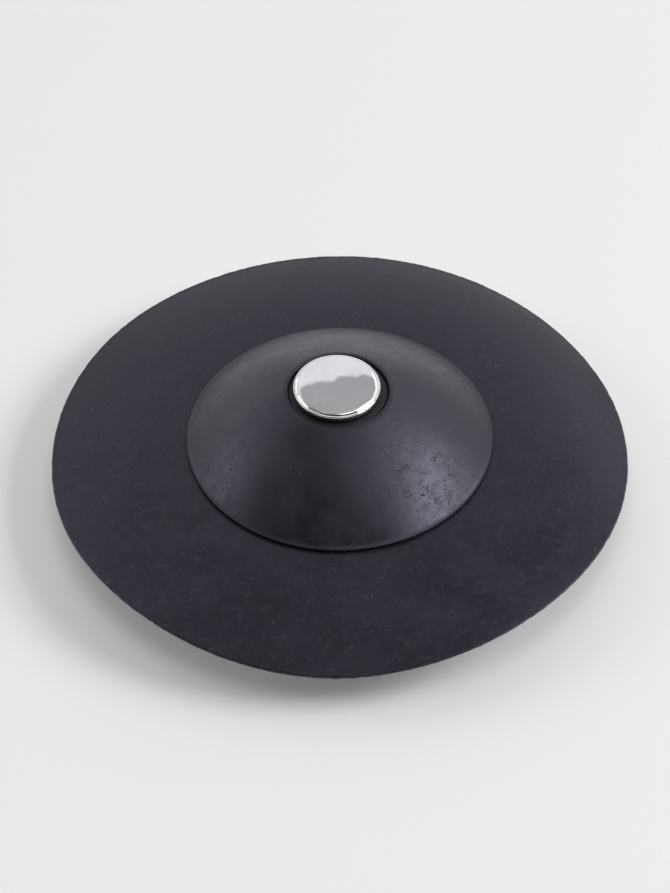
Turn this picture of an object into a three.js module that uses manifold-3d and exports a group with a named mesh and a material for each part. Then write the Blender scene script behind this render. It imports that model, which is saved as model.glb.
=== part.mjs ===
// Push-pull sink strainer and stopper, in millimetres, +Z up.
// A soft sealing disc is clamped between a guide hub and a strainer basket. A soft dome on a stem closes
// the basket when its steel button is pushed down, and lets water through when the dome is pulled up.
// The origin is on the axis, on the surface that the basket stands on. The stopper is closed.
import * as THREE from "three";
import { mergeVertices } from "three/addons/utils/BufferGeometryUtils.js";
import Module from "manifold-3d";

const wasm = await Module();
wasm.setup();

// Sealing disc: a soft round sheet, flat round the hub and drooping towards its rim.
const discDiameter = 110;
const discSeatThickness = 2.2;
const discRimThickness = 0.8;
const discDroop = 3.5;
const discFlatLand = 3.5;
const sealRibCount = 2;
const sealRibWidth = 1.2;
const sealRibHeight = 0.7;
const sealRibInset = 6;
const sealRibPitch = 7;

// Dome cover: the soft stopper, with a recess for the button at its top and a flat sealing foot.
const domeDiameter = 58.2;
const domeHeight = 13;
const domeBulge = 1;
const domeRimEdge = 0.9;
const domeFootWidth = 2.3;
const domeNeckWall = 2;
const domeLipDiameter = 18.9;
const domeLipRound = 0.4;

// Button: a drawn steel cap that snaps over a boss on the plunger.
const buttonDiameter = 16.3;
const buttonSheet = 0.4;
const buttonSkirt = 0.85;
const buttonShoulderWidth = 0.85;
const buttonShoulderHeight = 0.7;
const buttonCrown = 0.3;
const buttonLift = 0.4;
const buttonHookWidth = 0.55;
const buttonHookThickness = 0.3;

// Plunger: the stem, its neck through the dome and the flange that shows round the button.
const stemDiameter = 6;
const stemTravel = 8;
const spigotDiameter = 4.4;
const neckDiameter = 12;
const plungerFlangeThickness = 1.4;
const plungerFlangeSink = 0.35;

// Retaining ring: pushed on under the dome's neck.
const ringBoreDiameter = 9;
const ringDiameter = 15.8;
const ringThickness = 1;

// Guide hub: flange on top of the disc, sleeve down through it, and ribs that carry the stem's guide.
const hubFlangeDiameter = 41;
const hubFlangeThickness = 1.2;
const sleeveDiameter = 30;
const sleeveWall = 1.4;
const sleeveReach = 3;
const snapBeadHeight = 0.9;
const snapBeadWidth = 0.45;
const guideWall = 1.5;
const guideLipThickness = 1.2;
const ribCount = 4;
const ribWidth = 2.4;
const ribOuterHeight = 1.8;
const ribInnerHeight = 5;

// Friction bush: a soft sleeve in the guide that holds the stem at any height.
const bushWall = 1.5;
const bushFlangeWidth = 0.9;
const bushFlangeThickness = 0.8;

// Strainer basket: flange under the disc, slotted wall and slotted floor.
const basketFlangeThickness = 1.2;
const basketWall = 1.4;
const basketFloor = 1.5;
const basketFootChamfer = 0.6;
const slotCount = 12;
const wallSlotWidth = 3;
const wallSlotMargin = 0.7;
const floorSlotWidth = 2.4;
const floorSlotMargin = 1.3;

// End stop: a loose washer held on the stem's spigot by a screw.
const washerDiameter = 10;
const washerThickness = 0.8;
const washerPlay = 0.15;
const screwHeadDiameter = 5.6;
const screwHeadHeight = 1.6;
const screwShankDiameter = 3;
const screwShankLength = 7;
const screwPointLength = 1.5;
const screwRecessWidth = 0.9;
const screwRecessLength = 3.2;
const screwRecessDepth = 0.9;

// Clearances.
const restGap = 0.15; // faces that rest on each other
const fitGap = 0.2; // pieces that snap or screw together
const slideGap = 0.08; // the stem in its bush, and pressed pieces
const footGap = 0.8; // the screw above the surface
const stopGap = 0.3; // the washer under the guide at full lift
const overtravel = 0.5; // the ring above the bush when closed
const accessGap = 1; // the basket's floor round the washer

// Facets round a full turn, and steps along a curve and round the disc's rim.
const largeFacets = 48;
const smallFacets = 32;
const curveSteps = 6;
const rimSteps = 4;

// Heights, from the surface upwards.
const screwHeadTop = footGap + screwHeadHeight;
const spigotEnd = screwHeadTop + restGap;
const washerBottom = screwHeadTop + washerPlay;
const washerTop = washerBottom + washerThickness;
const stemShoulder = washerTop + washerPlay;
const guideBottom = washerTop + stemTravel + stopGap;
const hubFlangeTop = guideBottom + ribOuterHeight;
const hubFlangeBottom = hubFlangeTop - hubFlangeThickness;
const seatTop = hubFlangeBottom - restGap;
const seatUnderside = seatTop - discSeatThickness;
const basketTop = seatUnderside - restGap;
const sleeveBottom = basketTop - sleeveReach;
const domeBottom = seatTop + restGap;
const domeLip = domeBottom + domeHeight;
const plungerFlangeTop = domeLip - plungerFlangeSink;
const plungerFlangeBottom = plungerFlangeTop - plungerFlangeThickness;
const recessFloor = plungerFlangeBottom - restGap;
const neckUnderside = recessFloor - domeNeckWall;
const ringTop = neckUnderside - restGap;
const ringBottom = ringTop - ringThickness;
const bushTop = ringBottom - overtravel;
const guideTop = bushTop - bushFlangeThickness - restGap;
const bushBottom = guideBottom + guideLipThickness + restGap;
const capBottom = domeLip + buttonLift;
const capInnerCorner = capBottom + buttonSkirt - buttonSheet / 2;

// Radii that follow from what fits in what.
const discRadius = discDiameter / 2;
const domeRadius = domeDiameter / 2;
const lipRadius = domeLipDiameter / 2;
const capRadius = buttonDiameter / 2;
const capBore = capRadius - buttonSheet;
const hookBore = capBore - buttonHookWidth;
const stemRadius = stemDiameter / 2;
const neckRadius = neckDiameter / 2;
const ringBore = ringBoreDiameter / 2;
const ringRadius = ringDiameter / 2;
const bushBore = stemRadius + slideGap;
const bushRadius = bushBore + bushWall;
const guideBore = bushRadius + slideGap;
const guideRadius = guideBore + guideWall;
const sleeveRadius = sleeveDiameter / 2;
const sleeveBore = sleeveRadius - sleeveWall;
const beadRadius = sleeveRadius + snapBeadWidth;
const hubFlangeRadius = hubFlangeDiameter / 2;
const basketBore = sleeveRadius + fitGap;
const basketRadius = basketBore + basketWall;
const grooveRadius = beadRadius + fitGap;
const basketFlangeRadius = hubFlangeRadius; // the two flanges clamp the disc face to face
const washerRadius = washerDiameter / 2;
const spigotRadius = spigotDiameter / 2;
const accessRadius = washerRadius + accessGap;
const shankRadius = screwShankDiameter / 2;
const screwHeadRadius = screwHeadDiameter / 2;
const grooveBottom = sleeveBottom - fitGap;
const grooveTop = sleeveBottom + snapBeadHeight + fitGap;

// Finishes.
const blackSilicone = { color: 0x2b2b30, roughness: 0.62, metalness: 0 };
const blackPlastic = { color: 0x242428, roughness: 0.45, metalness: 0 };
const polishedSteel = { color: 0xd8d6d4, roughness: 0.06, metalness: 1 };
const plainSteel = { color: 0xb4b4b6, roughness: 0.3, metalness: 1 };

// A geometry with its shared vertices merged and its flat triangles on the axis dropped.
function weld(geometry) {
  geometry.deleteAttribute("normal");
  geometry.deleteAttribute("uv");
  const merged = mergeVertices(geometry);
  const kept = [];
  const index = merged.index.array;
  for (let i = 0; i < index.length; i += 3) {
    const [a, b, c] = index.subarray(i, i + 3);
    if (a !== b && b !== c && c !== a) kept.push(a, b, c);
  }
  merged.setIndex(kept);
  merged.computeVertexNormals();
  return merged;
}

// A profile of [radius, height] points turned round the Z axis, with its outer side running upwards.
function revolve(profile, facets) {
  const points = profile.map(([radius, height]) => new THREE.Vector2(radius, height));
  const onAxis = points[0].x === 0;
  if (!onAxis) points.push(points[0].clone());
  return weld(new THREE.LatheGeometry(points, facets).rotateX(Math.PI / 2));
}

// Points from one [radius, height] to another on a curve that swells by bulge to the right of its chord.
function bulgingCurve([r0, z0], [r1, z1], bulge) {
  const start = new THREE.Vector2(r0, z0);
  const end = new THREE.Vector2(r1, z1);
  const along = end.clone().sub(start).normalize();
  const toTheRight = new THREE.Vector2(along.y, -along.x);
  const control = start.clone().lerp(end, 0.5).addScaledVector(toTheRight, 2 * bulge);
  const curve = new THREE.QuadraticBezierCurve(start, control, end);
  return curve.getPoints(curveSteps).map((point) => [point.x, point.y]);
}

function toSolid(geometry) {
  const vertProperties = new Float32Array(geometry.attributes.position.array);
  const triVerts = new Uint32Array(geometry.index.array);
  return new wasm.Manifold(new wasm.Mesh({ numProp: 3, vertProperties, triVerts }));
}

function toGeometry(solid) {
  const mesh = solid.getMesh();
  const geometry = new THREE.BufferGeometry();
  geometry.setAttribute("position", new THREE.BufferAttribute(mesh.vertProperties, mesh.numProp));
  geometry.setIndex(new THREE.BufferAttribute(mesh.triVerts, 1));
  geometry.computeVertexNormals();
  return geometry;
}

// An upright plate: an outline of [radius, height] points with a width across it, turned to an angle.
function uprightPlate(outline, width, angle) {
  const shape = new THREE.Shape(outline.map(([radius, height]) => new THREE.Vector2(radius, height)));
  const plate = new THREE.ExtrudeGeometry(shape, { depth: width, bevelEnabled: false });
  plate.translate(0, 0, -width / 2).rotateX(Math.PI / 2).rotateZ(angle);
  return weld(plate);
}

// Each sub-part below is modelled with its own lowest working face at height 0.

// Flat seat, then a parabola down to a half-round rim, with two seal ribs underneath.
function sealingDisc() {
  const droopStart = hubFlangeRadius + discFlatLand;
  const rimRound = discRimThickness / 2;
  const rimStart = discRadius - rimRound;
  const undersideDroop = discDroop + discRimThickness - discSeatThickness;
  const droopAt = (radius, droop) => -droop * ((radius - droopStart) / (rimStart - droopStart)) ** 2;
  const radii = Array.from({ length: curveSteps + 1 }, (_, k) =>
    THREE.MathUtils.lerp(droopStart, rimStart, k / curveSteps),
  );
  const top = radii.map((radius) => [radius, discSeatThickness + droopAt(radius, discDroop)]);

  const outerRib = rimStart - sealRibInset;
  const ribCentres = Array.from({ length: sealRibCount }, (_, k) => outerRib - k * sealRibPitch);
  const clearOfRibs = (radius) => ribCentres.every((centre) => Math.abs(radius - centre) > sealRibWidth);
  const underside = radii.filter(clearOfRibs).map((radius) => [radius, droopAt(radius, undersideDroop)]);
  for (const centre of ribCentres) {
    for (const [across, down] of [[-1, 0], [-0.5, 1], [0.5, 1], [1, 0]]) {
      const radius = centre + (across * sealRibWidth) / 2;
      underside.push([radius, droopAt(radius, undersideDroop) - down * sealRibHeight]);
    }
  }
  underside.sort((a, b) => a[0] - b[0]);

  const rimMiddle = discSeatThickness - discDroop - rimRound;
  const rim = Array.from({ length: rimSteps - 1 }, (_, k) => {
    const angle = Math.PI * ((k + 1) / rimSteps - 0.5);
    return [rimStart + rimRound * Math.cos(angle), rimMiddle + rimRound * Math.sin(angle)];
  });
  const discBore = sleeveRadius + fitGap;
  const boreEdges = [[discBore, discSeatThickness], [discBore, 0]];
  return revolve([...underside, ...rim, ...top.reverse(), ...boreEdges], largeFacets);
}

// A bulging cone, open underneath, with a stepped hole for the plunger at its top.
function domeCover() {
  const lip = domeHeight;
  const floor = recessFloor - domeBottom;
  const underside = neckUnderside - domeBottom;
  const hole = neckRadius + fitGap;
  const foot = [domeRadius - domeFootWidth, 0];
  const outside = bulgingCurve([domeRadius, domeRimEdge], [lipRadius + domeLipRound, lip], domeBulge);
  const inside = bulgingCurve([ringRadius + 2 * fitGap, underside], foot, -domeBulge).slice(0, -1);
  const recess = [[lipRadius, lip - domeLipRound], [lipRadius, floor], [hole, floor], [hole, underside]];
  return revolve([foot, [domeRadius, 0], ...outside, ...recess, ...inside], largeFacets);
}

// A thin drawn cap: crowned face, bevelled shoulder, short skirt and an inward hook.
function buttonCap() {
  const shoulderTop = buttonSkirt + buttonShoulderHeight;
  const faceRadius = capRadius - buttonShoulderWidth;
  const crownTop = shoulderTop + buttonCrown;
  const shoulderBulge = buttonShoulderHeight / 12;
  const shoulder = bulgingCurve([capRadius, buttonSkirt], [faceRadius, shoulderTop], shoulderBulge);
  const crown = bulgingCurve([faceRadius, shoulderTop], [0, crownTop], buttonCrown / 4).slice(1);
  const inside = [
    [0, crownTop - buttonSheet],
    [faceRadius, shoulderTop - buttonSheet],
    [capBore, capInnerCorner - capBottom],
    [capBore, buttonHookThickness],
    [hookBore, buttonHookThickness],
  ];
  return revolve([...inside, [hookBore, 0], [capRadius, 0], ...shoulder, ...crown], smallFacets);
}

// Stem, ring seat, neck, flange and boss in one turned shape, with a pilot hole for the screw.
function plungerStem() {
  const above = (height) => height - spigotEnd;
  const pilotRadius = shankRadius + slideGap;
  const pilotEnd = above(screwHeadTop + screwShankLength + fitGap);
  const flangeRadius = lipRadius - fitGap;
  const bossRadius = hookBore - fitGap;
  const bossRimRadius = capBore - fitGap;
  const bossRimBottom = above(capBottom + buttonHookThickness + slideGap);
  const bossTop = above(capInnerCorner - slideGap);
  return revolve(
    [
      [0, pilotEnd],
      [pilotRadius, pilotEnd],
      [pilotRadius, 0],
      [spigotRadius, 0],
      [spigotRadius, above(stemShoulder)],
      [stemRadius, above(stemShoulder)],
      [stemRadius, above(ringBottom)],
      [ringBore - slideGap, above(ringBottom)],
      [ringBore - slideGap, above(neckUnderside)],
      [neckRadius, above(neckUnderside)],
      [neckRadius, above(plungerFlangeBottom)],
      [flangeRadius, above(plungerFlangeBottom)],
      [flangeRadius, above(plungerFlangeTop)],
      [bossRadius, above(plungerFlangeTop)],
      [bossRadius, bossRimBottom],
      [bossRimRadius, bossRimBottom],
      [bossRimRadius, bossTop],
      [0, bossTop],
    ],
    smallFacets,
  );
}

function flatRing(bore, radius, thickness) {
  return revolve([[bore, 0], [radius, 0], [radius, thickness], [bore, thickness]], smallFacets);
}

// Flange, snap sleeve and guide tube, joined by upright ribs.
function guideHub() {
  const above = (height) => height - sleeveBottom;
  const sleeve = revolve(
    [
      [sleeveBore, 0],
      [sleeveRadius, 0],
      [beadRadius, snapBeadHeight / 2],
      [beadRadius, snapBeadHeight],
      [sleeveRadius, snapBeadHeight],
      [sleeveRadius, above(hubFlangeBottom)],
      [hubFlangeRadius, above(hubFlangeBottom)],
      [hubFlangeRadius, above(hubFlangeTop)],
      [sleeveBore, above(hubFlangeTop)],
    ],
    largeFacets,
  );
  const guideLipBore = stemRadius + fitGap;
  const guideLipTop = above(guideBottom + guideLipThickness);
  const guide = revolve(
    [
      [guideLipBore, above(guideBottom)],
      [guideRadius, above(guideBottom)],
      [guideRadius, above(guideTop)],
      [guideBore, above(guideTop)],
      [guideBore, guideLipTop],
      [guideLipBore, guideLipTop],
    ],
    smallFacets,
  );
  const ribInside = guideRadius - guideWall / 2;
  const ribOutside = sleeveBore + sleeveWall / 2;
  const ribOutline = [
    [ribInside, above(guideBottom)],
    [ribOutside, above(guideBottom)],
    [ribOutside, above(hubFlangeTop)],
    [ribInside, above(guideBottom) + ribInnerHeight],
  ];
  let hub = toSolid(sleeve).add(toSolid(guide));
  for (let k = 0; k < ribCount; k++) {
    const angle = (2 * Math.PI * (k + 0.5)) / ribCount;
    hub = hub.add(toSolid(uprightPlate(ribOutline, ribWidth, angle)));
  }
  return toGeometry(hub);
}

// A cup with a snap groove inside, slots round its wall and slots across its floor.
function strainerBasket() {
  const flangeBottom = basketTop - basketFlangeThickness;
  const cup = revolve(
    [
      [accessRadius, 0],
      [basketRadius - basketFootChamfer, 0],
      [basketRadius, basketFootChamfer],
      [basketRadius, flangeBottom],
      [basketFlangeRadius, flangeBottom],
      [basketFlangeRadius, basketTop],
      [basketBore, basketTop],
      [basketBore, grooveTop],
      [grooveRadius, grooveTop],
      [grooveRadius, grooveBottom],
      [basketBore, grooveBottom],
      [basketBore, basketFloor],
      [accessRadius, basketFloor],
    ],
    largeFacets,
  );
  const box = (r0, r1, z0, z1) => [[r0, z0], [r1, z0], [r1, z1], [r0, z1]];
  const wallSlot = box(
    basketBore - basketWall,
    basketRadius + basketWall,
    basketFloor + wallSlotMargin,
    grooveBottom - wallSlotMargin,
  );
  const floorSlot = box(
    accessRadius + floorSlotMargin,
    basketBore - floorSlotMargin,
    -basketFloor,
    2 * basketFloor,
  );
  let basket = toSolid(cup);
  for (let k = 0; k < slotCount; k++) {
    const angle = (2 * Math.PI * (k + 0.5)) / slotCount;
    basket = basket.subtract(toSolid(uprightPlate(wallSlot, wallSlotWidth, angle)));
    basket = basket.subtract(toSolid(uprightPlate(floorSlot, floorSlotWidth, angle)));
  }
  return toGeometry(basket);
}

function frictionBush() {
  const underFlange = guideTop + restGap - bushBottom;
  const top = bushTop - bushBottom;
  const flangeRadius = guideBore + bushFlangeWidth;
  return revolve(
    [
      [bushBore, 0],
      [bushRadius, 0],
      [bushRadius, underFlange],
      [flangeRadius, underFlange],
      [flangeRadius, top],
      [bushBore, top],
    ],
    smallFacets,
  );
}

// Pan head underneath, with a cross recess, and a plain shank that ends in a point.
function endStopScrew() {
  const shankEnd = screwHeadHeight + screwShankLength;
  const headRound = screwHeadHeight / 3;
  const turned = revolve(
    [
      [0, 0],
      [screwHeadRadius - headRound, 0],
      [screwHeadRadius, headRound],
      [screwHeadRadius, screwHeadHeight],
      [shankRadius, screwHeadHeight],
      [shankRadius, shankEnd - screwPointLength],
      [0, shankEnd],
    ],
    smallFacets,
  );
  let screw = toSolid(turned);
  for (const [x, y] of [[screwRecessLength, screwRecessWidth], [screwRecessWidth, screwRecessLength]]) {
    const bar = weld(new THREE.BoxGeometry(x, y, 2 * screwRecessDepth));
    screw = screw.subtract(toSolid(bar));
  }
  return toGeometry(screw);
}

function place(group, name, geometry, finish, height) {
  const mesh = new THREE.Mesh(geometry, new THREE.MeshStandardMaterial(finish));
  mesh.name = name;
  mesh.position.z = height;
  group.add(mesh);
}

// What lies in the sink.
const strainer = new THREE.Group();
place(strainer, "sealing_disc", sealingDisc(), blackSilicone, seatUnderside);
place(strainer, "guide_hub", guideHub(), blackPlastic, sleeveBottom);
place(strainer, "strainer_basket", strainerBasket(), blackPlastic, 0);
place(strainer, "friction_bush", frictionBush(), blackSilicone, bushBottom);

// What lifts and turns.
const stopper = new THREE.Group();
const retainingRing = flatRing(ringBore, ringRadius, ringThickness);
const endStopWasher = flatRing(spigotRadius + slideGap, washerRadius, washerThickness);
place(stopper, "button_cap", buttonCap(), polishedSteel, capBottom);
place(stopper, "plunger_stem", plungerStem(), blackPlastic, spigotEnd);
place(stopper, "dome_cover", domeCover(), blackSilicone, domeBottom);
place(stopper, "dome_retaining_ring", retainingRing, blackPlastic, ringBottom);
place(stopper, "end_stop_washer", endStopWasher, plainSteel, washerBottom);
place(stopper, "end_stop_screw", endStopScrew(), plainSteel, footGap);

const sinkStrainer = new THREE.Group();
sinkStrainer.add(strainer, stopper);

export default sinkStrainer;
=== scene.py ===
import math

import bpy
from mathutils import Matrix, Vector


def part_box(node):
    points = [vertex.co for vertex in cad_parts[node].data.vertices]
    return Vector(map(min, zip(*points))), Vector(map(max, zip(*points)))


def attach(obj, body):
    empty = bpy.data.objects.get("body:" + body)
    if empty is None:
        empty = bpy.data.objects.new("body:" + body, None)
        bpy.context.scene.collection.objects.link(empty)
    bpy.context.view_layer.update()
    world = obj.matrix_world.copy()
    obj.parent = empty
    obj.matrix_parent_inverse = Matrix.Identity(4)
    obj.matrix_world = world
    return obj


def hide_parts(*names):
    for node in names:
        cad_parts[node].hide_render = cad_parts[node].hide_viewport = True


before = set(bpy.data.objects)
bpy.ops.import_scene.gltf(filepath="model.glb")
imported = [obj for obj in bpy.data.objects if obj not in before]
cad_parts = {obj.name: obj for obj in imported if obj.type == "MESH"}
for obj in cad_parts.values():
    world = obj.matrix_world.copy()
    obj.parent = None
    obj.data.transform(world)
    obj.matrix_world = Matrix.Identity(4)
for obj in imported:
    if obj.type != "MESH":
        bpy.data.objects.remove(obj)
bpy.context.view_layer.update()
scene = bpy.context.scene
scene.view_settings.view_transform = "Standard"
mm = 0.001  # lengths below are in millimetres
print("frame loaded with", len(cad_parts), "nodes")


# Camera, as the photograph was taken

camera = {
    "distance": 600,  # from the middle of the disc's rim
    "rimHeight": 7.8,
    "elevation": 46.88,
    "aimUp": 0.152,  # degrees, so that the rim's middle falls below the picture's middle
    "aimLeft": 0.094,
    "roll": -0.81,
    "lens": 126.45,
    "sensor": 36,
    "nearest": 10,
}


def makeCamera():
    bpy.ops.object.camera_add()
    lens = bpy.context.object
    tilt = math.radians(camera["elevation"])
    away = camera["distance"] * mm
    place = (0, -away * math.cos(tilt), camera["rimHeight"] * mm + away * math.sin(tilt))
    pitch = math.radians(90 - camera["elevation"] + camera["aimUp"])
    turn = Matrix.Rotation(math.radians(camera["aimLeft"]), 4, "Z")
    turn = turn @ Matrix.Rotation(pitch, 4, "X") @ Matrix.Rotation(math.radians(camera["roll"]), 4, "Z")
    lens.matrix_world = Matrix.Translation(place) @ turn
    lens.data.lens = camera["lens"]
    lens.data.sensor_width = camera["sensor"]
    lens.data.clip_start = camera["nearest"] * mm
    scene.camera = lens


makeCamera()
print("camera placed")


# Node helpers

def setInputs(tree, node, inputs):
    # each input is linked to a socket or given a constant
    for label, value in inputs.items():
        if isinstance(value, bpy.types.NodeSocket):
            tree.links.new(value, node.inputs[label])
        else:
            node.inputs[label].default_value = value


def addNode(tree, kind, inputs=None, **settings):
    node = tree.nodes.new("ShaderNode" + kind)
    for label, value in settings.items():
        setattr(node, label, value)
    setInputs(tree, node, inputs or {})
    return node


def ramp(tree, value, low, high, fromLevel=0.0, toLevel=1.0):
    # a smooth step from one level to another as value goes from low to high
    inputs = {"Value": value, "From Min": low, "From Max": high, "To Min": fromLevel, "To Max": toLevel}
    return addNode(tree, "MapRange", inputs, interpolation_type="SMOOTHSTEP").outputs["Result"]


def calc(tree, operation, first, second):
    return addNode(tree, "Math", {0: first, 1: second}, operation=operation).outputs["Value"]


def noise(tree, spot, scale, detail):
    return addNode(tree, "TexNoise", {"Vector": spot, "Scale": scale, "Detail": detail}).outputs[0]


def blendColour(tree, factor, first, second):
    node = addNode(tree, "Mix", {"Factor": factor}, data_type="RGBA")
    for label, value in (("A", first), ("B", second)):
        socket = [s for s in node.inputs if s.name == label and s.type == "RGBA"][0]
        if isinstance(value, bpy.types.NodeSocket):
            tree.links.new(value, socket)
        else:
            socket.default_value = (*value, 1)
    return [s for s in node.outputs if s.type == "RGBA"][0]


def newGroup(name, inputs, outputs):
    tree = bpy.data.node_groups.new(name, "ShaderNodeTree")
    tree.interface.new_socket("Vector", in_out="INPUT", socket_type="NodeSocketVector")
    for label in inputs:
        tree.interface.new_socket(label, in_out="INPUT", socket_type="NodeSocketFloat")
    for label in outputs:
        tree.interface.new_socket(label, in_out="OUTPUT", socket_type="NodeSocketFloat")
    return tree, tree.nodes.new("NodeGroupInput").outputs, tree.nodes.new("NodeGroupOutput")


def useGroup(tree, group, inputs):
    return addNode(tree, "Group", inputs, node_tree=group).outputs


# Effects that several finishes share

# levels of noise at which each effect starts and is full
effectLevels = {"patches": (0.32, 0.68), "mottle": (0.3, 0.7), "fibres": (0.54, 0.62)}


def makeMouldedSkin():
    # fine grain of a mould's wall, and broad patches where the skin is duller
    tree, given, result = newGroup("mouldedSkin", ("Grain Scale", "Patch Scale"), ("Grain", "Patches"))
    grain = noise(tree, given["Vector"], given["Grain Scale"], detail=3)
    broad = noise(tree, given["Vector"], given["Patch Scale"], detail=4)
    setInputs(tree, result, {"Grain": grain, "Patches": ramp(tree, broad, *effectLevels["patches"])})
    return tree


def makeSoftMottle():
    # small mottle of a soft skin, and how uneven that and its patches make it
    tree, given, result = newGroup("softMottle", ("Mottle Scale", "Patches"), ("Mottle", "Uneven"))
    mottle = noise(tree, given["Vector"], given["Mottle Scale"], detail=4)
    both = calc(tree, "ADD", given["Patches"], ramp(tree, mottle, *effectLevels["mottle"]))
    setInputs(tree, result, {"Mottle": mottle, "Uneven": calc(tree, "MULTIPLY", both, 0.5)})
    return tree


def makeStrayDust():
    # sparse light specks, and short bent fibres along the edges of cells
    sizes = ("Speck Scale", "Speck Size", "Speck Share", "Fibre Scale", "Fibre Width")
    tree, given, result = newGroup("strayDust", sizes, ("Specks", "Fibres"))
    spot = given["Vector"]
    cells = addNode(tree, "TexVoronoi", {"Vector": spot, "Scale": given["Speck Scale"]}).outputs
    pick = addNode(tree, "SeparateColor", {"Color": cells["Color"]}).outputs
    size = calc(tree, "MULTIPLY", pick["Blue"], given["Speck Size"])
    near = calc(tree, "LESS_THAN", cells["Distance"], size)
    chosen = calc(tree, "LESS_THAN", pick["Red"], given["Speck Share"])
    bright = calc(tree, "MULTIPLY", pick["Green"], pick["Green"])  # few of them are bright
    specks = calc(tree, "MULTIPLY", calc(tree, "MULTIPLY", near, chosen), bright)

    cell = {"Vector": spot, "Scale": given["Fibre Scale"]}
    walls = addNode(tree, "TexVoronoi", cell, feature="DISTANCE_TO_EDGE").outputs["Distance"]
    line = calc(tree, "LESS_THAN", walls, given["Fibre Width"])
    breaks = noise(tree, spot, given["Fibre Scale"], detail=2)
    fibres = calc(tree, "MULTIPLY", line, ramp(tree, breaks, *effectLevels["fibres"]))
    setInputs(tree, result, {"Specks": specks, "Fibres": fibres})
    return tree


mouldedSkin = makeMouldedSkin()
softMottle = makeSoftMottle()
strayDust = makeStrayDust()


def newMaterial(name):
    # an empty finish with its shader, and places on the piece in millimetres
    material = bpy.data.materials.new(name)
    material.use_nodes = True
    tree = material.node_tree
    shader = tree.nodes["Principled BSDF"]
    place = addNode(tree, "TexCoord").outputs["Object"]
    spot = addNode(tree, "Mapping", {"Vector": place, "Scale": (1 / mm,) * 3}).outputs["Vector"]
    return material, tree, shader, spot


def addBump(tree, shader, height, depth):
    bump = addNode(tree, "Bump", {"Height": height, "Distance": depth * mm, "Strength": 1})
    tree.links.new(bump.outputs["Normal"], shader.inputs["Normal"])


def addMould(tree, shader, spot, look):
    # gives a moulded piece its grain and gloss, and returns its patches
    scales = {"Grain Scale": look["grainScale"], "Patch Scale": look["patchScale"]}
    skin = useGroup(tree, mouldedSkin, {"Vector": spot, **scales})
    setInputs(tree, shader, {"IOR": look["ior"], "Specular Tint": (*look["tint"], 1)})
    addBump(tree, shader, skin["Grain"], look["grainDepth"])
    return skin["Patches"]


def addSilicone(tree, shader, spot, look):
    # the same for a soft piece, with a little sheen, and with its mottle and dust
    patches = addMould(tree, shader, spot, look)
    mottled = {"Vector": spot, "Mottle Scale": look["mottleScale"], "Patches": patches}
    wear = useGroup(tree, softMottle, mottled)
    dust = useGroup(tree, strayDust, {"Vector": spot, **look["dustSizes"]})
    sheen = {"Sheen Weight": look["sheen"], "Sheen Roughness": look["sheenRoughness"]}
    setInputs(tree, shader, {**sheen, "Sheen Tint": (*look["tint"], 1)})
    return patches, wear, dust


# Finishes: scales are waves in a millimetre, and a From pair is the noise at which a mark starts and is full

discSkin = {
    "dark": (0.005, 0.005, 0.008),
    "pale": (0.009, 0.009, 0.013),
    "worn": (0.013, 0.013, 0.016),
    "wornFrom": (0.52, 0.78),
    "dust": (0.12, 0.12, 0.14),
    "dustSizes": {
        "Speck Scale": 1.3,
        "Speck Size": 0.22,
        "Speck Share": 0.5,
        "Fibre Scale": 0.9,
        "Fibre Width": 0.045,
    },
    "specks": 0.6,
    "lint": 0.17,
    "lintFrom": (0.35, 0.6),
    "tint": (0.81, 0.78, 1),
    "ior": 1.53,
    "sheen": 0.05,
    "sheenRoughness": 0.35,
    "roughness": (0.32, 0.42),
    "grainScale": 3.2,
    "grainDepth": 0.03,
    "patchScale": 0.09,
    "mottleScale": 0.55,
}


def makeDiscSilicone():
    material, tree, shader, spot = newMaterial("discSilicone")
    patches, wear, dust = addSilicone(tree, shader, spot, discSkin)
    body = blendColour(tree, patches, discSkin["dark"], discSkin["pale"])
    body = blendColour(tree, ramp(tree, wear["Mottle"], *discSkin["wornFrom"]), body, discSkin["worn"])
    lint = calc(tree, "MULTIPLY", dust["Fibres"], ramp(tree, wear["Mottle"], *discSkin["lintFrom"]))
    lint = calc(tree, "MULTIPLY", lint, discSkin["lint"])
    cover = calc(tree, "MAXIMUM", calc(tree, "MULTIPLY", dust["Specks"], discSkin["specks"]), lint)
    colour = blendColour(tree, cover, body, discSkin["dust"])
    rough = ramp(tree, wear["Uneven"], 0, 1, *discSkin["roughness"])
    setInputs(tree, shader, {"Base Color": colour, "Roughness": rough})
    return material


domeSkin = {
    "dark": (0.006, 0.006, 0.009),
    "pale": (0.01, 0.01, 0.014),
    "dust": (0.12, 0.12, 0.14),
    "dustSizes": {
        "Speck Scale": 1.1,
        "Speck Size": 0.22,
        "Speck Share": 0.25,
        "Fibre Scale": 1.2,
        "Fibre Width": 0.05,
    },
    "specks": 0.5,
    "lint": 0.3,
    "tint": (0.8, 0.8, 1),
    "ior": 1.61,
    "sheen": 0.06,
    "sheenRoughness": 0.35,
    "roughness": (0.36, 0.48),
    "grainScale": 3.5,
    "grainDepth": 0.018,
    "patchScale": 0.13,
    "mottleScale": 0.6,
    # the pits are pinholes: their darker colour is painted shade in the holes
    "pitPaintedShade": (0.003, 0.003, 0.004),
    "pitRoughness": 0.9,
    "pitScale": 2.1,
    "pitSize": 0.62,
    "pitShade": 0.78,
    "pitEdge": 0.15,
    "pitRagged": 0.35,  # how far the pits' outlines wander
    "raggedScale": 2.5,
    "crowdScale": 0.3,  # pits stand in crowds
    "crowdFrom": (0.36, 0.54),
    "strayPit": 0.4,  # share of their size between the crowds
    "pitArea": (16, -14, 17),  # middle of the pitted and scuffed area
    "pitReach": 17,
    "rubArea": (-21, -11, 17),  # middle of a fainter area
    "rubReach": 13,
    "rubShare": 0.85,
    "areaCore": 0.3,  # share of an area's reach before it starts to fade
    "scuff": 0.14,
    "scuffScale": 0.9,
    "scuffFrom": (0.52, 0.7),
}


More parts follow.
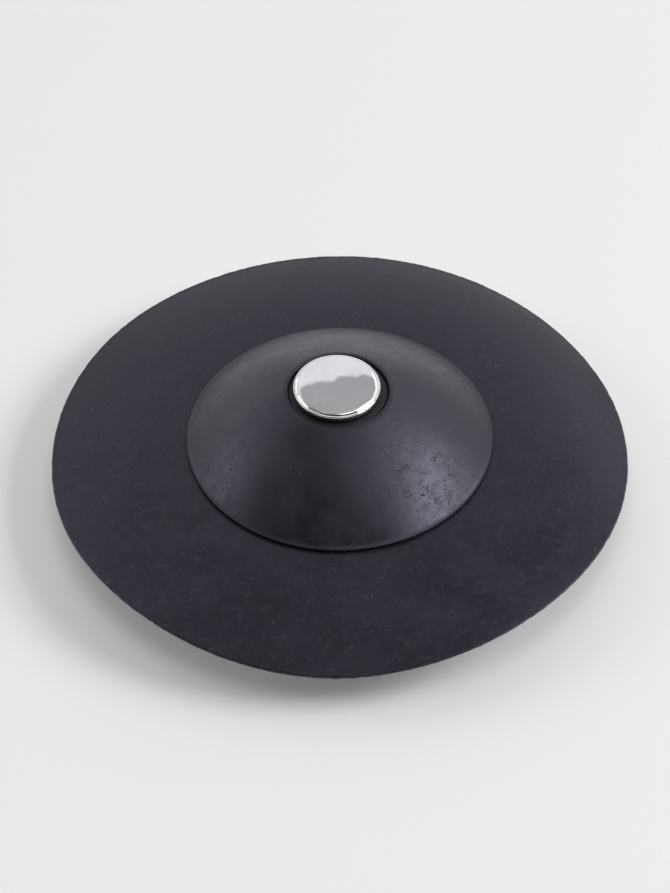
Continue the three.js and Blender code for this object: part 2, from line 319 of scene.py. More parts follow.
def makeDomeSilicone():
    material, tree, shader, spot = newMaterial("domeSilicone")
    patches, wear, dust = addSilicone(tree, shader, spot, domeSkin)

    def markedArea(middle, reach, share):
        away = addNode(tree, "VectorMath", {0: spot, 1: middle}, operation="DISTANCE").outputs["Value"]
        return ramp(tree, away, domeSkin["areaCore"] * reach, reach, share, 0)

    area = markedArea(domeSkin["pitArea"], domeSkin["pitReach"], 1)
    faint = markedArea(domeSkin["rubArea"], domeSkin["rubReach"], domeSkin["rubShare"])
    area = calc(tree, "MAXIMUM", area, faint)

    fray = addNode(tree, "TexNoise", {"Vector": spot, "Scale": domeSkin["raggedScale"], "Detail": 2})
    ragged = {0: fray.outputs["Color"], 1: (domeSkin["pitRagged"],) * 3, 2: spot}
    bent = addNode(tree, "VectorMath", ragged, operation="MULTIPLY_ADD").outputs["Vector"]
    cells = addNode(tree, "TexVoronoi", {"Vector": bent, "Scale": domeSkin["pitScale"]}).outputs
    pick = addNode(tree, "SeparateColor", {"Color": cells["Color"]}).outputs["Green"]
    crowd = noise(tree, spot, domeSkin["crowdScale"], detail=1)
    size = calc(tree, "MULTIPLY", calc(tree, "MULTIPLY", pick, domeSkin["pitSize"]), area)
    size = calc(tree, "MULTIPLY", size, ramp(tree, crowd, *domeSkin["crowdFrom"], domeSkin["strayPit"], 1))
    inside = calc(tree, "SUBTRACT", size, cells["Distance"])
    # in the pinholes the colour darkens, which is painted shade, and the gloss dulls
    hole = ramp(tree, inside, 0, domeSkin["pitEdge"], 0, domeSkin["pitShade"])
    rubbed = noise(tree, bent, domeSkin["scuffScale"], detail=4)
    scuff = calc(tree, "MULTIPLY", ramp(tree, rubbed, *domeSkin["scuffFrom"], 0, domeSkin["scuff"]), area)

    body = blendColour(tree, patches, domeSkin["dark"], domeSkin["pale"])
    lint = calc(tree, "MULTIPLY", calc(tree, "MULTIPLY", dust["Fibres"], area), domeSkin["lint"])
    cover = calc(tree, "MAXIMUM", calc(tree, "MULTIPLY", dust["Specks"], domeSkin["specks"]), lint)
    cover = calc(tree, "MAXIMUM", cover, scuff)
    colour = blendColour(tree, hole, blendColour(tree, cover, body, domeSkin["dust"]), domeSkin["pitPaintedShade"])
    rough = ramp(tree, wear["Uneven"], 0, 1, *domeSkin["roughness"])
    rough = calc(tree, "MAXIMUM", rough, calc(tree, "MULTIPLY", hole, domeSkin["pitRoughness"]))
    setInputs(tree, shader, {"Base Color": colour, "Roughness": rough})
    return material


plasticSkin = {
    "dark": (0.007, 0.007, 0.008),
    "pale": (0.011, 0.011, 0.013),
    "roughness": (0.46, 0.54),
    "ior": 1.42,
    "tint": (0.88, 0.94, 1),
    "grainScale": 5,
    "grainDepth": 0.012,
    "patchScale": 0.2,
}


def makeBlackPlastic():
    material, tree, shader, spot = newMaterial("blackPlastic")
    patches = addMould(tree, shader, spot, plasticSkin)
    colour = blendColour(tree, patches, plasticSkin["dark"], plasticSkin["pale"])
    rough = ramp(tree, patches, 0, 1, *plasticSkin["roughness"])
    setInputs(tree, shader, {"Base Color": colour, "Roughness": rough})
    return material


polish = {
    "dark": (0.83, 0.81, 0.812),
    "pale": (0.87, 0.86, 0.86),
    "paleFrom": (0.3, 0.7),
    "roughness": (0.03, 0.05),
    "roughFrom": (0.35, 0.75),
    "hazeScale": 0.35,
    "waveScale": 0.3,  # where the sheet was drawn
    "waveDepth": 0.02,
}


def makePolishedSteel():
    material, tree, shader, spot = newMaterial("polishedSteel")
    wave = noise(tree, spot, polish["waveScale"], detail=1)
    haze = noise(tree, spot, polish["hazeScale"], detail=3)
    colour = blendColour(tree, ramp(tree, haze, *polish["paleFrom"]), polish["dark"], polish["pale"])
    rough = ramp(tree, haze, *polish["roughFrom"], *polish["roughness"])
    setInputs(tree, shader, {"Base Color": colour, "Roughness": rough, "Metallic": 1})
    addBump(tree, shader, wave, polish["waveDepth"])
    return material


plainMetal = {
    "dark": (0.42, 0.42, 0.43),
    "pale": (0.56, 0.56, 0.57),
    "roughness": (0.24, 0.36),
    "lineScale": (7, 0.7, 3),  # turning marks, finest across the axis
    "lineFrom": (0.3, 0.7),
    "lineDepth": 0.006,
}


def makePlainSteel():
    material, tree, shader, spot = newMaterial("plainSteel")
    stretched = addNode(tree, "Mapping", {"Vector": spot, "Scale": plainMetal["lineScale"]})
    lines = noise(tree, stretched.outputs["Vector"], scale=1, detail=4)
    marks = ramp(tree, lines, *plainMetal["lineFrom"])
    colour = blendColour(tree, marks, plainMetal["dark"], plainMetal["pale"])
    rough = ramp(tree, lines, *plainMetal["lineFrom"], *plainMetal["roughness"])
    setInputs(tree, shader, {"Base Color": colour, "Roughness": rough, "Metallic": 1})
    addBump(tree, shader, lines, plainMetal["lineDepth"])
    return material


discSilicone = makeDiscSilicone()
domeSilicone = makeDomeSilicone()
blackPlastic = makeBlackPlastic()
polishedSteel = makePolishedSteel()
plainSteel = makePlainSteel()
print("finishes made")


# Modelling steps that several pieces share

mergeWithin = 0.002
bevelAngle = 0.6  # radians, so that edges bent less than this stay as they are


def span(node):
    # outer radius, lowest and highest point of a CAD node
    low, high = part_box(node)
    return high.x / mm, low.z / mm, high.z / mm


def swell(start, end, bulge, steps):
    # the points after start on a curve that bulges to the right of its chord
    (r0, z0), (r1, z1) = start, end
    chord = math.hypot(r1 - r0, z1 - z0)
    middleR = (r0 + r1) / 2 + 2 * bulge * (z1 - z0) / chord
    middleZ = (z0 + z1) / 2 - 2 * bulge * (r1 - r0) / chord
    points = []
    for k in range(1, steps + 1):
        t = k / steps
        first, middle, last = (1 - t) ** 2, 2 * t * (1 - t), t * t
        points.append((first * r0 + middle * middleR + last * r1, first * z0 + middle * middleZ + last * z1))
    return points


def arc(centre, radius, start, end, steps):
    # points on a round edge, between two angles in degrees
    points = []
    for k in range(steps + 1):
        angle = math.radians(start + (end - start) * k / steps)
        points.append((centre[0] + radius * math.cos(angle), centre[1] + radius * math.sin(angle)))
    return points


def editAll(piece):
    # into edit mode with all of the piece selected
    bpy.context.view_layer.objects.active = piece
    bpy.ops.object.mode_set(mode="EDIT")
    bpy.ops.mesh.select_all(action="SELECT")


def editDone():
    bpy.ops.object.mode_set(mode="OBJECT")


def turnPiece(name, profile, sides):
    # a ring pulled up and scaled from each (radius, height) to the next
    bpy.ops.object.select_all(action="DESELECT")
    radius, height = profile[0]
    bpy.ops.mesh.primitive_circle_add(vertices=sides, radius=radius * mm, location=(0, 0, height * mm))
    piece = bpy.context.object
    piece.name = name
    bpy.ops.object.transform_apply(location=True, rotation=True, scale=True)
    editAll(piece)
    for nextRadius, nextHeight in profile[1:]:
        step = (0, 0, (nextHeight - height) * mm)
        bpy.ops.mesh.extrude_edges_move(TRANSFORM_OT_translate={"value": step})
        grow = nextRadius / radius
        bpy.ops.transform.resize(value=(grow, grow, 1), center_override=(0, 0, 0))
        radius, height = nextRadius, nextHeight
    bpy.ops.mesh.select_all(action="SELECT")
    bpy.ops.mesh.remove_doubles(threshold=mergeWithin * mm)  # joins a closed profile, and a tip on the axis
    bpy.ops.mesh.fill_holes(sides=0)  # caps an open one
    bpy.ops.mesh.select_all(action="SELECT")
    bpy.ops.mesh.normals_make_consistent(inside=False)
    editDone()
    return piece


def addBlock(size, place):
    # a block with its middle at a place, and nothing of it selected
    bpy.ops.object.select_all(action="DESELECT")
    bpy.ops.mesh.primitive_cube_add(size=1)
    block = bpy.context.object
    editAll(block)
    bpy.ops.transform.resize(value=[length * mm for length in size])
    bpy.ops.transform.translate(value=[length * mm for length in place])
    bpy.ops.mesh.select_all(action="DESELECT")
    editDone()
    return block


def editEdges(block, wanted):
    # into edit mode with the wanted edges selected
    for edge in block.data.edges:
        edge.select = wanted(*[block.data.vertices[k].co for k in edge.vertices])
    bpy.ops.object.mode_set(mode="EDIT")
    bpy.ops.mesh.select_mode(type="EDGE")


def turnBlock(block, angle):
    editAll(block)
    bpy.ops.transform.rotate(value=angle, orient_axis="Z", center_override=(0, 0, 0))
    bpy.ops.mesh.select_mode(type="VERT")
    editDone()


def shiftAside(piece, across, along):
    editAll(piece)
    bpy.ops.transform.translate(value=(across * mm, along * mm, 0))
    editDone()


def useModifier(piece, kind, **settings):
    bpy.context.view_layer.objects.active = piece
    modifier = piece.modifiers.new(kind.lower(), kind)
    for label, value in settings.items():
        setattr(modifier, label, value)
    bpy.ops.object.modifier_apply(modifier=modifier.name)


def pushPoints(piece, group, axis, distance):
    # points move along an axis by their weight in a group
    settings = {"direction": axis, "vertex_group": group.name, "strength": distance * mm, "mid_level": 0}
    useModifier(piece, "DISPLACE", **settings)


def mergeDoubles(piece):
    editAll(piece)
    bpy.ops.mesh.remove_doubles(threshold=mergeWithin * mm)
    bpy.ops.mesh.normals_make_consistent(inside=False)
    editDone()


def softenEdges(piece, width, segments=3):
    bevel = {"width": width * mm, "segments": segments}
    useModifier(piece, "BEVEL", **bevel, limit_method="ANGLE", angle_limit=bevelAngle)
    mergeDoubles(piece)  # where narrow bevels meet


def smoothFaces(piece, angle=40):
    bpy.ops.object.select_all(action="DESELECT")
    piece.select_set(True)
    bpy.context.view_layer.objects.active = piece
    bpy.ops.object.shade_smooth_by_angle(angle=math.radians(angle))


def cutOrJoin(piece, tool, operation):
    useModifier(piece, "BOOLEAN", object=tool, operation=operation, solver="EXACT")
    bpy.data.objects.remove(tool, do_unlink=True)


def fitPiece(piece, node, body, material):
    piece.data.materials.clear()
    piece.data.materials.append(material)
    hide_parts(node)
    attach(piece, body)
    print(piece.name, "stands for", node, "with", len(piece.data.polygons), "faces")


# Sealing disc

softDisc = {
    "bore": 15.2,
    "flatTo": 24,  # flat round the hub, then it droops more and more
    "thickness": 2.2,
    "rimThickness": 0.8,
    "droop": 3.5,
    "droopPower": 2.5,
    "ribs": (41.6, 48.6),  # seal ribs underneath
    "ribWidth": 1.4,
    "ribHeight": 0.7,
    "ribSteps": 8,
    "sides": 480,
    "steps": 26,
    "aside": (0.2, 0),  # the disc sits off the axis by its clearance
    "waveFrom": 29.5,  # the soft rim's waves start outside the dome
    # each wave's direction and half width in degrees, its rise, and the power it grows with towards the edge
    "waves": {
        "frontLeftLobe": (-137, 38, 1.75, 3.5),
        "frontRightLobe": (-46, 44, 2.45, 5),
        "frontRightHollow": (-46, 44, -0.7, 1.5),
        "frontDip": (-92, 18, -0.35, 2.5),
        "rightDip": (32, 60, -1.35, 4),
        "backDip": (95, 50, -0.25, 3),
        "backLeftLobe": (150, 36, 0.45, 2.5),
    },
    "nickSize": 0.8,
    "nickDepth": 0.2,
}


def makeSoftDisc():
    radius, _, top = span("sealing_disc")
    flatTo, bore, steps = softDisc["flatTo"], softDisc["bore"], softDisc["steps"]
    ribs, ribWidth, ribSteps = softDisc["ribs"], softDisc["ribWidth"], softDisc["ribSteps"]
    rimRound = softDisc["rimThickness"] / 2
    edge = radius - rimRound

    def fall(r):
        return (max(0, r - flatTo) / (edge - flatTo)) ** softDisc["droopPower"]

    def under(r):
        drop = softDisc["thickness"]
        drop += (softDisc["droop"] + softDisc["rimThickness"] - softDisc["thickness"]) * fall(r)
        for rib in ribs:
            across = (r - rib) / ribWidth
            if abs(across) < 0.5:
                drop += softDisc["ribHeight"] * math.cos(math.pi * across)
        return top - drop

    even = [flatTo + (edge - flatTo) * k / steps for k in range(steps + 1)]
    ribRange = range(-ribSteps // 2, ribSteps // 2 + 1)
    onRibs = [rib + ribWidth * k / ribSteps for rib in ribs for k in ribRange]
    clear = [r for r in even if min(abs(r - rib) for rib in ribs) > ribWidth]
    profile = [(r, under(r)) for r in sorted([bore] + clear + onRibs)]
    profile += arc((edge, top - softDisc["droop"] - rimRound), rimRound, start=-90, end=90, steps=10)[1:]
    profile += [(r, top - softDisc["droop"] * fall(r)) for r in reversed(even[:-1])]
    profile += [(bore, top), profile[0]]
    disc = turnPiece("softDisc", profile, softDisc["sides"])

    # the soft rim's waves, each a stretch that hangs higher or lower
    waveFrom = softDisc["waveFrom"]
    for name, (direction, halfWidth, rise, power) in softDisc["waves"].items():
        wave = disc.vertex_groups.new(name=name)
        for point in disc.data.vertices:
            out = (point.co.xy.length / mm - waveFrom) / (radius - waveFrom)
            away = math.degrees(math.atan2(point.co.y, point.co.x)) - direction
            away = abs((away + 180) % 360 - 180)
            if out > 0 and away < halfWidth:
                crest = (1 + math.cos(math.pi * away / halfWidth)) / 2
                wave.add([point.index], crest * out ** power, "REPLACE")
        pushPoints(disc, wave, "Z", rise)

    # small nicks and flash along the moulded rim
    rim = disc.vertex_groups.new(name="rim")
    rim.add([p.index for p in disc.data.vertices if p.co.xy.length > (edge - rimRound) * mm], 1, "REPLACE")
    nicks = bpy.data.textures.new("rimNicks", "CLOUDS")
    nicks.noise_scale = softDisc["nickSize"] * mm
    useModifier(disc, "DISPLACE", texture=nicks, vertex_group="rim", strength=softDisc["nickDepth"] * mm)
    shiftAside(disc, *softDisc["aside"])
    smoothFaces(disc)
    fitPiece(disc, "sealing_disc", "strainer", discSilicone)


makeSoftDisc()


# Dome cover

softDome = {
    "rimEdge": 0.55,
    "rimSoft": 0.12,
    "rimLand": 0.12,  # narrow, nearly flat land round the foot
    "landRise": 0.03,
    "aside": (0.1, 0.17),  # the dome sits off the axis by its clearance
    "lean": {"X": 0.15, "Y": 0.3},  # and its soft skirt leans, most at the rim
    "bulge": 1.0,
    "footWidth": 2.3,
    "lipRadius": 9.45,
    "lipRound": 0.4,
    "recessDepth": 1.9,
    "hole": 6.2,
    "neckWall": 2.0,
    "neckRadius": 8.3,
    "sides": 288,
}


def makeSoftDome():
    radius, bottom, top = span("dome_cover")
    soft, lip, rounding = softDome["rimSoft"], softDome["lipRadius"], softDome["lipRound"]
    floor = top - softDome["recessDepth"]
    neck = (softDome["neckRadius"], floor - softDome["neckWall"])
    foot = (radius - softDome["footWidth"], bottom)
    rimTop = bottom + softDome["rimEdge"]
    profile = [foot, (radius - soft, bottom)]
    profile += arc((radius - soft, bottom + soft), soft, start=-60, end=0, steps=3)
    profile += arc((radius - soft, rimTop - soft), soft, start=0, end=90, steps=6)
    profile.append((radius - soft - softDome["rimLand"], rimTop + softDome["landRise"]))
    profile += swell(profile[-1], (lip + rounding, top), softDome["bulge"], steps=28)
    profile += arc((lip + rounding, top - rounding), rounding, start=110, end=180, steps=6)
    profile += [(lip, floor), (softDome["hole"], floor), (softDome["hole"], neck[1]), neck]
    profile += swell(neck, foot, -softDome["bulge"], steps=14)
    dome = turnPiece("softDome", profile, softDome["sides"])
    for axis, lean in softDome["lean"].items():
        skirt = dome.vertex_groups.new(name="skirt" + axis)
        for point in dome.data.vertices:
            skirt.add([point.index], max(0, top - point.co.z / mm) / (top - bottom), "REPLACE")
        pushPoints(dome, skirt, axis, lean)
    shiftAside(dome, *softDome["aside"])
    smoothFaces(dome)
    fitPiece(dome, "dome_cover", "stopper", domeSilicone)


makeSoftDome()


# Button cap

steelButton = {
    "sheet": 0.4,
    "skirt": 0.85,
    "shoulderWidth": 1.25,
    "shoulder": 0.7,
    "shoulderEnd": 81,  # degrees round its curve, where it runs into the crown
    "shoulderSteps": 18,
    "crown": 0.3,
    "underFlat": 1,  # flat middle underneath
    "hookWidth": 0.55,
    "hook": 0.3,
    "brim": 0.2,  # narrow land round the foot of the shoulder
    "brimDish": 0.03,  # its outer edge stands up by this
    "brimRound": 0.08,
    "aside": (-0.17, 0.03),
    "tilt": 1.2,  # degrees, lower at the front
    "smoothAngle": 60,
    "sides": 384,
}


def makeSteelButton():
    radius, bottom, top = span("button_cap")
    sheet, skirt, rounding = steelButton["sheet"], bottom + steelButton["skirt"], steelButton["brimRound"]
    wide, tall = steelButton["shoulderWidth"], steelButton["shoulder"] + steelButton["brimDish"]
    faceEdge = (radius - steelButton["brim"] - wide, skirt + steelButton["shoulder"])
    bore = radius - sheet
    hookBore, hookTop = bore - steelButton["hookWidth"], bottom + steelButton["hook"]
    profile = [(steelButton["underFlat"], top - sheet), (faceEdge[0], faceEdge[1] - sheet)]
    profile += [(bore, skirt - sheet / 2), (bore, hookTop), (hookBore, hookTop), (hookBore, bottom)]
    profile.append((radius - rounding, bottom))
    profile += arc((radius - rounding, bottom + rounding), rounding, start=-60, end=0, steps=4)
    profile += arc((radius - rounding, skirt - rounding), rounding, start=0, end=90, steps=6)
    for k in range(steelButton["shoulderSteps"] + 1):
        angle = math.radians(steelButton["shoulderEnd"] * k / steelButton["shoulderSteps"])
        profile.append((faceEdge[0] + wide * math.cos(angle), faceEdge[1] - tall + tall * math.sin(angle)))
    profile += swell(profile[-1], (0, top), steelButton["crown"] / 4, steps=16)
    button = turnPiece("steelButton", profile, steelButton["sides"])
    editAll(button)
    tilt = -math.radians(steelButton["tilt"])
    bpy.ops.transform.rotate(value=tilt, orient_axis="X", center_override=(0, 0, skirt * mm))
    editDone()
    shiftAside(button, *steelButton["aside"])
    smoothFaces(button, steelButton["smoothAngle"])
    fitPiece(button, "button_cap", "stopper", polishedSteel)


makeSteelButton()


# Plunger

plunger = {
    "pilot": 1.58,
    "pilotEnd": 9.6,
    "spigot": 2.2,
    "spigotTop": 3.5,
    "stem": 3,
    "ringSeat": 4.42,
    "ringSeatBottom": 20.2,
    "neck": 6,
    "neckBottom": 21.35,
    "flangeBottom": 23.5,
    "flangeTop": 24.9,
    "boss": 7.0,
    "bossRim": 7.55,
    "bossRimBottom": 26.03,
    "sides": 128,
    "soft": 0.1,
}


def makePlunger():
    radius, bottom, top = span("plunger_stem")
    profile = [
        (plunger["pilot"], plunger["pilotEnd"]),
        (plunger["pilot"], bottom),
        (plunger["spigot"], bottom),
        (plunger["spigot"], plunger["spigotTop"]),
        (plunger["stem"], plunger["spigotTop"]),
        (plunger["stem"], plunger["ringSeatBottom"]),
        (plunger["ringSeat"], plunger["ringSeatBottom"]),
        (plunger["ringSeat"], plunger["neckBottom"]),
        (plunger["neck"], plunger["neckBottom"]),
        (plunger["neck"], plunger["flangeBottom"]),
        (radius, plunger["flangeBottom"]),
        (radius, plunger["flangeTop"]),
        (plunger["boss"], plunger["flangeTop"]),
        (plunger["boss"], plunger["bossRimBottom"]),
        (plunger["bossRim"], plunger["bossRimBottom"]),
        (plunger["bossRim"], top),
    ]
    stem = turnPiece("plungerStem", profile, plunger["sides"])
    softenEdges(stem, plunger["soft"])
    smoothFaces(stem)
    fitPiece(stem, "plunger_stem", "stopper", blackPlastic)


makePlunger()


# Plain rings: the dome's retaining ring and the end stop's washer

ringPieces = {
    "retainingRing": {
        "node": "dome_retaining_ring",
        "bore": 4.5,
        "body": "stopper",
        "slot": "black_plastic",
        "material": blackPlastic,
        "soft": 0.15,
        "sides": 96,
    },
    "endStopWasher": {
        "node": "end_stop_washer",
        "bore": 2.28,
        "body": "end_stop",
        "slot": "plain_steel",
        "material": plainSteel,
        "soft": 0.12,
        "sides": 96,
    },
}


def makeRings():
    for name, ring in ringPieces.items():
        radius, bottom, top = span(ring["node"])
        bore = ring["bore"]
        profile = [(bore, bottom), (radius, bottom), (radius, top), (bore, top), (bore, bottom)]
        piece = turnPiece(name, profile, ring["sides"])
        softenEdges(piece, ring["soft"])
        smoothFaces(piece)
        fitPiece(piece, ring["node"], ring["body"], ring["material"])


makeRings()


# Friction bush

bush = {"bore": 3.08, "radius": 4.58, "flange": 0.8, "sides": 96, "soft": 0.15}


def makeBush():
    radius, bottom, top = span("friction_bush")
    underFlange = top - bush["flange"]
    profile = [
        (bush["bore"], bottom),
        (bush["radius"], bottom),
        (bush["radius"], underFlange),
        (radius, underFlange),
        (radius, top),
        (bush["bore"], top),
        (bush["bore"], bottom),
    ]
    sleeve = turnPiece("frictionBush", profile, bush["sides"])
    softenEdges(sleeve, bush["soft"])
    smoothFaces(sleeve)
    fitPiece(sleeve, "friction_bush", "strainer", domeSilicone)


makeBush()


# Guide hub

hub = {
    "sleeveBore": 13.6,
    "sleeve": 15,
    "bead": 15.45,
    "beadHeight": 0.9,
    "flangeBottom": 12.25,
    "flangeTop": 13.45,
    "guideLipBore": 3.2,
    "guideBore": 4.66,
    "guide": 6.16,
    "guideBottom": 11.65,
    "guideLip": 1.2,
    "ribCount": 4,
    "ribWidth": 2.4,
    "ribInside": 5.41,
    "ribOutside": 14.3,
    "ribHeights": (5, 1.8),  # at the guide and at the sleeve
    "sides": 128,
    "soft": 0.12,
    "softSteps": 2,
}


def makeRib(angle):
    # an upright plate that tapers from the guide tube down to the sleeve
    inside, outside = hub["ribInside"], hub["ribOutside"]
    tall, short = hub["ribHeights"]
    middle, level = (inside + outside) / 2, hub["guideBottom"] + short / 2
    rib = addBlock((outside - inside, hub["ribWidth"], short), (middle, 0, level))

    def topInside(*ends):
        return all(end.x < middle * mm and end.z > level * mm for end in ends)

    editEdges(rib, topInside)
    bpy.ops.transform.translate(value=(0, 0, (tall - short) * mm))
    turnBlock(rib, angle)
    return rib


def makeGuideHub():
    radius, bottom, top = span("guide_hub")
    bead = bottom + hub["beadHeight"]
    sleeveProfile = [
        (hub["sleeveBore"], bottom),
        (hub["sleeve"], bottom),
        (hub["bead"], bead - hub["beadHeight"] / 2),
        (hub["bead"], bead),
        (hub["sleeve"], bead),
        (hub["sleeve"], hub["flangeBottom"]),
        (radius, hub["flangeBottom"]),
        (radius, hub["flangeTop"]),
        (hub["sleeveBore"], hub["flangeTop"]),
        (hub["sleeveBore"], bottom),
    ]
    lipTop = hub["guideBottom"] + hub["guideLip"]
    guideProfile = [
        (hub["guideLipBore"], hub["guideBottom"]),
        (hub["guide"], hub["guideBottom"]),
        (hub["guide"], top),
        (hub["guideBore"], top),
        (hub["guideBore"], lipTop),
        (hub["guideLipBore"], lipTop),
        (hub["guideLipBore"], hub["guideBottom"]),
    ]
    piece = turnPiece("guideHub", sleeveProfile, hub["sides"])
    guide = turnPiece("guideTube", guideProfile, hub["sides"])
    softenEdges(piece, hub["soft"], hub["softSteps"])
    softenEdges(guide, hub["soft"], hub["softSteps"])
    for k in range(hub["ribCount"]):
        rib = makeRib(2 * math.pi * (k + 0.5) / hub["ribCount"])
        softenEdges(rib, hub["soft"], hub["softSteps"])
        cutOrJoin(guide, rib, "UNION")
    cutOrJoin(piece, guide, "UNION")
    mergeDoubles(piece)
    smoothFaces(piece)
    fitPiece(piece, "guide_hub", "strainer", blackPlastic)


makeGuideHub()


# Strainer basket

basket = {
    "bore": 15.2,
    "wall": 16.6,
    "flange": 1.2,
    "groove": 15.65,
    "grooveBottom": 6.55,
    "grooveTop": 7.85,
    "floor": 1.5,
    "access": 6,
    "footRound": 0.6,
    "slotCount": 12,
    "wallSlot": {"width": 3, "inside": 13.8, "outside": 18, "low": 2.2, "high": 5.85},
    "floorSlot": {"width": 2.4, "inside": 7.3, "outside": 13.9, "low": -1.5, "high": 3},
    "slotRound": 0.7,
    "slotRoundSteps": 5,
    "sides": 192,
    "soft": 0.12,
    "softSteps": 2,
}


def makeSlot(slot, angle, alongAxis):
    # a bar with rounded long edges, which run out from the axis or up along it
    inside, outside, low, high = slot["inside"], slot["outside"], slot["low"], slot["high"]
    place = ((inside + outside) / 2, 0, (low + high) / 2)
    bar = addBlock((outside - inside, slot["width"], high - low), place)

    def isLong(start, end):
        run = end - start
        return abs(run.z if alongAxis else run.x) > run.length / 2

    editEdges(bar, isLong)
    bpy.ops.mesh.bevel(offset=basket["slotRound"] * mm, segments=basket["slotRoundSteps"])
    turnBlock(bar, angle)
    return bar


def makeBasket():
    radius, bottom, top = span("strainer_basket")
    underFlange = top - basket["flange"]
    footRound = basket["footRound"]
    foot = basket["wall"] - footRound
    profile = [(basket["access"], bottom), (foot, bottom)]
    profile += arc((foot, bottom + footRound), footRound, start=-75, end=0, steps=5)
    profile += [
        (basket["wall"], underFlange),
        (radius, underFlange),
        (radius, top),
        (basket["bore"], top),
        (basket["bore"], basket["grooveTop"]),
        (basket["groove"], basket["grooveTop"]),
        (basket["groove"], basket["grooveBottom"]),
        (basket["bore"], basket["grooveBottom"]),
        (basket["bore"], basket["floor"]),
        (basket["access"], basket["floor"]),
        (basket["access"], bottom),
    ]
    cup = turnPiece("strainerBasket", profile, basket["sides"])
    softenEdges(cup, basket["soft"], basket["softSteps"])
    for k in range(basket["slotCount"]):
        angle = 2 * math.pi * (k + 0.5) / basket["slotCount"]
        cutOrJoin(cup, makeSlot(basket["wallSlot"], angle, False), "DIFFERENCE")
        cutOrJoin(cup, makeSlot(basket["floorSlot"], angle, True), "DIFFERENCE")
    mergeDoubles(cup)
    smoothFaces(cup)
    fitPiece(cup, "strainer_basket", "strainer", blackPlastic)


makeBasket()


# End stop screw

screw = {
    "headHeight": 1.6,
    "headRound": 0.53,
    "shank": 1.5,
    "point": 1.5,
    "tip": 0.05,
    "recessLength": 3.2,
    "recessWidth": 0.9,
    "recessDepth": 0.9,
    "sides": 96,
    "soft": 0.06,
    "softSteps": 2,
}


def makeScrew():
    radius, bottom, top = span("end_stop_screw")
    rounding, shank = screw["headRound"], screw["shank"]
    headTop = bottom + screw["headHeight"]
    profile = [(radius - rounding, bottom)]
    profile += arc((radius - rounding, bottom + rounding), rounding, start=-75, end=0, steps=5)
    profile += [(radius, headTop), (shank, headTop), (shank, top - screw["point"]), (screw["tip"], top)]
    piece = turnPiece("endStopScrew", profile, screw["sides"])
    for turn in (0, math.pi / 2):
        size = (screw["recessLength"], screw["recessWidth"], 2 * screw["recessDepth"])
        bar = addBlock(size, (0, 0, bottom))
        turnBlock(bar, turn)
        cutOrJoin(piece, bar, "DIFFERENCE")
    softenEdges(piece, screw["soft"], screw["softSteps"])
    smoothFaces(piece)
    fitPiece(piece, "end_stop_screw", "stopper", plainSteel)


makeScrew()
print("pieces made")


# Floor and light, with sizes in metres

floorLook = {
    "size": 8,
    "colour": (0.81, 0.81, 0.81),
    "roughness": 0.9,
    "glow": 0.15,  # part of the floor's paleness that no shadow darkens
    "mirrorGlow": 0.55,  # and the same in reflections
}


def makeFloor():
    bpy.ops.object.select_all(action="DESELECT")
    bpy.ops.mesh.primitive_plane_add(size=floorLook["size"])
    floor = bpy.context.object
    floor.name = "floor"
    material = bpy.data.materials.new("paleFloor")
    material.use_nodes = True
    tree = material.node_tree
    path = addNode(tree, "LightPath").outputs
    mirrored = calc(tree, "MAXIMUM", path["Is Glossy Ray"], path["Is Transmission Ray"])
    mirrored = calc(tree, "MULTIPLY", mirrored, floorLook["mirrorGlow"])
    glow = calc(tree, "MULTIPLY", path["Is Camera Ray"], floorLook["glow"])
    look = {
        "Base Color": (*floorLook["colour"], 1),
        "Roughness": floorLook["roughness"],
        "Specular IOR Level": 0,
        "Emission Color": (1, 1, 1, 1),
        "Emission Strength": calc(tree, "ADD", glow, mirrored),
    }
    setInputs(tree, tree.nodes["Principled BSDF"], look)
    floor.data.materials.append(material)


makeFloor()

# each lamp's direction and height in degrees, its width and height, its brightness and what it lights
lamps = {
    "keyLamp": (-10, 36.5, 1.5, 0.5, 9.2, "gloss"),
    "keySoftBox": (0, 35, 0.9, 0.9, 9.6, "matt"),
    "overheadSoftBox": (-90, 88, 1.3, 1.3, 1.05, "matt"),
    "frontSoftBox": (-85, 75, 0.9, 0.9, 1.4, "matt"),
    "sideLamp": (30, 37, 0.9, 0.8, 0.5, "gloss"),
    "backLamp": (57, 35.5, 0.8, 0.4, 0.8, "gloss"),
    "highLamp": (0, 60, 1.2, 0.8, 1.15, "gloss"),
    "topLamp": (-90, 86, 1.4, 1.4, 0.34, "gloss"),
    "cornerLamp": (-55, 68, 0.7, 0.7, 1.1, "gloss"),
    "fillLamp": (174, 27, 1.2, 0.8, 1.8, "all"),
    "backLeftLamp": (137, 20, 1.0, 0.6, 0.85, "gloss"),
    "leftLamp": (195, 58, 1.4, 1.0, 0.25, "gloss"),
}
lampDistance = 2.0


def makeLamps():
    for name, (azimuth, elevation, wide, tall, level, lights) in lamps.items():
        bpy.ops.object.light_add(type="AREA")
        light = bpy.context.object
        light.name = name
        light.data.shape = "RECTANGLE"
        light.data.size = wide
        light.data.size_y = tall
        light.data.energy = level * math.pi * wide * tall
        turn = Matrix.Rotation(math.radians(azimuth) + math.pi / 2, 4, "Z")
        turn = turn @ Matrix.Rotation(math.pi / 2 - math.radians(elevation), 4, "X")
        light.matrix_world = turn @ Matrix.Translation((0, 0, lampDistance))
        light.visible_diffuse = lights != "gloss"
        light.visible_glossy = lights != "matt"


makeLamps()

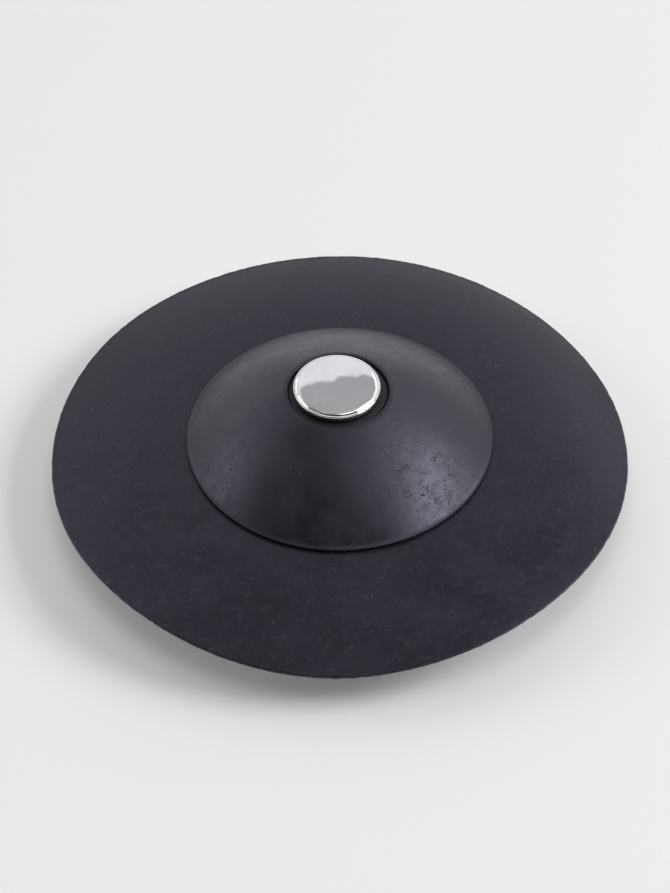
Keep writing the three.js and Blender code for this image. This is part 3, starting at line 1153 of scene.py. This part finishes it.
# a From pair is the range of a direction's X, Y or Z in which a level changes
studio = {
    "background": 0.84,  # what the camera sees past the floor
    "backdrop": 0.87,  # what lights the object, by direction
    "behindFrom": (-0.1, 0.35),
    "horizon": 0.52,
    "backdropFrom": (0.12, 0.4),  # the backdrop rises out of the horizon
    "ceiling": 0.42,
    "ceilingFrom": (0.05, 0.4),
    "dark": 0.03,
    "frontHorizon": 0.5,  # low on the near side, in reflections
    "frontFrom": (0.15, 0.68),
    "backdropTop": 0.719,  # sine of the height where the backdrop ends
    "backdropSlant": 0.17,
    "backdropEdge": 0.012,
    "edgeScale": 15,  # the edge wanders a little
    "edgeWander": 0.05,
    "mirrorTint": (0.96, 0.97, 1.02),  # the backdrop is a little cold in reflections
    "leftShade": 0.74,  # the backdrop's share of light at its far left
    "leftFrom": (-0.7, -0.2),
}


def makeStudio():
    world = bpy.data.worlds.new("studio")
    scene.world = world
    world.use_nodes = True
    tree = world.node_tree
    direction = addNode(tree, "TexCoord").outputs["Generated"]
    parts = addNode(tree, "SeparateXYZ", {"Vector": direction}).outputs
    path = addNode(tree, "LightPath").outputs

    # where the backdrop is, behind and up to a slanting edge
    height = calc(tree, "ADD", parts["Z"], calc(tree, "MULTIPLY", parts["X"], studio["backdropSlant"]))
    waves = {"W": parts["X"], "Scale": studio["edgeScale"], "Detail": 1}
    uneven = addNode(tree, "TexNoise", waves, noise_dimensions="1D").outputs[0]
    wander = calc(tree, "MULTIPLY", calc(tree, "SUBTRACT", uneven, 0.5), studio["edgeWander"])
    height = calc(tree, "ADD", height, wander)
    top, soft = studio["backdropTop"], studio["backdropEdge"]
    low = ramp(tree, height, top - soft, top + soft, 1, 0)
    white = calc(tree, "MULTIPLY", low, ramp(tree, parts["Y"], *studio["behindFrom"]))

    # near side and ceiling, then the backdrop over them
    front = ramp(tree, parts["Z"], *studio["frontFrom"], studio["frontHorizon"], 0)
    front = calc(tree, "ADD", calc(tree, "MULTIPLY", front, path["Is Glossy Ray"]), studio["dark"])
    over = ramp(tree, parts["Y"], *studio["ceilingFrom"])
    over = calc(tree, "MULTIPLY", over, calc(tree, "SUBTRACT", studio["ceiling"], front))
    towards = calc(tree, "ADD", front, over)
    backdrop = ramp(tree, parts["Z"], *studio["backdropFrom"], studio["horizon"], studio["backdrop"])
    shade = ramp(tree, parts["X"], *studio["leftFrom"], studio["leftShade"], 1)
    gap = calc(tree, "SUBTRACT", calc(tree, "MULTIPLY", backdrop, shade), towards)
    mirrored = calc(tree, "ADD", towards, calc(tree, "MULTIPLY", gap, white))

    seen = {"Factor": path["Is Camera Ray"], "A": mirrored, "B": studio["background"]}
    level = addNode(tree, "Mix", seen).outputs["Result"]
    tint = blendColour(tree, path["Is Glossy Ray"], (1, 1, 1), studio["mirrorTint"])
    setInputs(tree, tree.nodes["Background"], {"Strength": level, "Color": tint})


makeStudio()
print("floor, lamps and studio made")
